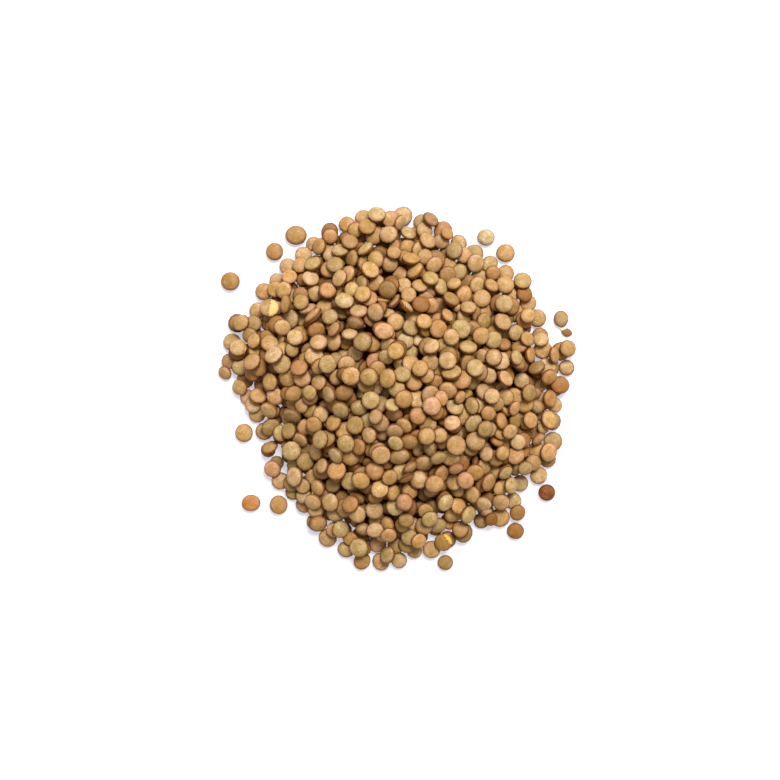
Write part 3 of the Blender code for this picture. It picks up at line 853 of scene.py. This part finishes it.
def modelHeart():
    deselectAll()
    bpy.ops.mesh.primitive_uv_sphere_add(segments=heart["sides"], ring_count=heart["rings"], radius=1)
    core = bpy.context.active_object
    core.name = core.data.name = "lentilShadeCore"
    bpy.ops.object.mode_set(mode="EDIT")
    bpy.ops.mesh.select_all(action="SELECT")
    bpy.ops.mesh.bisect(plane_co=(0, 0, 0), plane_no=(0, 0, 1), use_fill=True, clear_inner=True)
    bpy.ops.object.mode_set(mode="OBJECT")
    # how far inside the heap's foot the wanted surface is high enough for the heart to start
    startInset = math.atanh(heap["heartStart"] / heap["peak"]) * heap["peak"] / math.tan(heap["slope"])
    for vertex in core.data.vertices:
        angle = math.atan2(vertex.co.y, vertex.co.x)
        reach = float(footReach(angle)) + heap["slopeOverhang"] - startInset
        away = math.hypot(vertex.co.x, vertex.co.y) * reach
        x, y = away * math.cos(angle), away * math.sin(angle)
        z = 0.0
        if vertex.co.z > 0.001:
            z = max(float(wantedHeight(x, y)) - heap["heartDepth"] - heart["sink"], heart["lowest"])
        vertex.co = Vector((x, y, z)) + heap["toOrigin"]
    bpy.ops.object.shade_smooth()
    return core


def heartShadeSkin():
    material = bpy.data.materials.new("heartShadeSkin")
    material.use_nodes = True
    tree = material.node_tree
    shader = tree.nodes["Principled BSDF"]
    shader.inputs["Roughness"].default_value = heart["roughness"]
    shader.inputs["Specular IOR Level"].default_value = heart["specular"]
    place = tree.nodes.new("ShaderNodeTexCoord")
    cells = tree.nodes.new("ShaderNodeTexVoronoi")
    cells.inputs["Scale"].default_value = heart["cells"]
    tree.links.new(place.outputs["Object"], cells.inputs["Vector"])
    colour = mixed(tree, "MIX", cells.outputs["Distance"], (*heart["light"], 1), (*heart["dark"], 1))
    tree.links.new(colour, shader.inputs["Base Color"])
    bump = tree.nodes.new("ShaderNodeBump")
    bump.inputs["Distance"].default_value = heart["cellHeight"]
    bump.invert = True
    tree.links.new(cells.outputs["Distance"], bump.inputs["Height"])
    tree.links.new(bump.outputs["Normal"], shader.inputs["Normal"])
    return material


core = modelHeart()
core.data.materials.append(heartShadeSkin())
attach(core, "root")
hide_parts("lentil_heap")
print("heart made")

for form in lensForms.values():
    bpy.data.objects.remove(form, do_unlink=True)


# Floor, light and camera
studio = {
    "floor": (0.50, 0.50, 0.50),
    "floorSize": 3.0,
    "floorRoughness": 0.7,
    "floorSpecular": 0.1,
    "mottleScale": 30.0,
    "mottled": 0.99,  # how dark the floor's darker places are
    "floorGlow": (0.92, 0.885, 1.0),  # a faint glow keeps the shadows on the white floor pale
    "glowStrength": 0.51,
    "world": 0.54,
    "worldColour": (1.0, 0.955, 0.90),
    "keyPlace": (0.16, 0.46, 0.74),
    "keySize": 0.38,
    "keyWatts": 12.4,
    "keyColour": (0.95, 0.965, 1.0),
}


def floorSkin():
    material = bpy.data.materials.new("paleFloor")
    material.use_nodes = True
    tree = material.node_tree
    shader = tree.nodes["Principled BSDF"]
    shader.inputs["Roughness"].default_value = studio["floorRoughness"]
    shader.inputs["Specular IOR Level"].default_value = studio["floorSpecular"]
    place = tree.nodes.new("ShaderNodeTexCoord")
    mottle = noise(tree, place.outputs["Object"], studio["mottleScale"], 2.0)
    darker = [studio["mottled"] * value for value in studio["floor"]]
    colour = mixed(tree, "MIX", mottle, (*studio["floor"], 1), (*darker, 1))
    tree.links.new(colour, shader.inputs["Base Color"])
    shader.inputs["Emission Color"].default_value = (*studio["floorGlow"], 1)
    shader.inputs["Emission Strength"].default_value = studio["glowStrength"]
    return material


deselectAll()
bpy.ops.mesh.primitive_plane_add(size=studio["floorSize"], location=(0, 0, 0))
floor = bpy.context.active_object
floor.name = "floor"
floor.data.materials.append(floorSkin())

world = bpy.data.worlds.new("studio")
world.use_nodes = True
world.node_tree.nodes["Background"].inputs["Color"].default_value = (*studio["worldColour"], 1)
world.node_tree.nodes["Background"].inputs["Strength"].default_value = studio["world"]
bpy.context.scene.world = world

keyLight = bpy.data.lights.new("key", "AREA")
keyLight.size = studio["keySize"]
keyLight.energy = studio["keyWatts"]
keyLight.color = studio["keyColour"]
key = bpy.data.objects.new("key", keyLight)
key.location = studio["keyPlace"]
key.rotation_euler = (-Vector(studio["keyPlace"])).to_track_quat("-Z", "Y").to_euler()
bpy.context.collection.objects.link(key)

photo = {
    "millimetresPerPixel": 0.345,
    "pixels": 780,
    "distance": 360 * mm,
    "middle": (-1.725 * mm, -0.86 * mm),
    "sensor": 36,
}
cameraData = bpy.data.cameras.new("photoCamera")
cameraData.sensor_width = photo["sensor"]
photoWidth = photo["pixels"] * photo["millimetresPerPixel"] * mm
cameraData.lens = photo["sensor"] * photo["distance"] / photoWidth
cameraData.clip_start = 0.01
cameraData.dof.use_dof = False
camera = bpy.data.objects.new("photoCamera", cameraData)
camera.location = Vector((*photo["middle"], photo["distance"])) + heap["toOrigin"]
bpy.context.collection.objects.link(camera)
bpy.context.scene.camera = camera
bpy.context.scene.view_settings.view_transform = "Standard"
print("studio set")
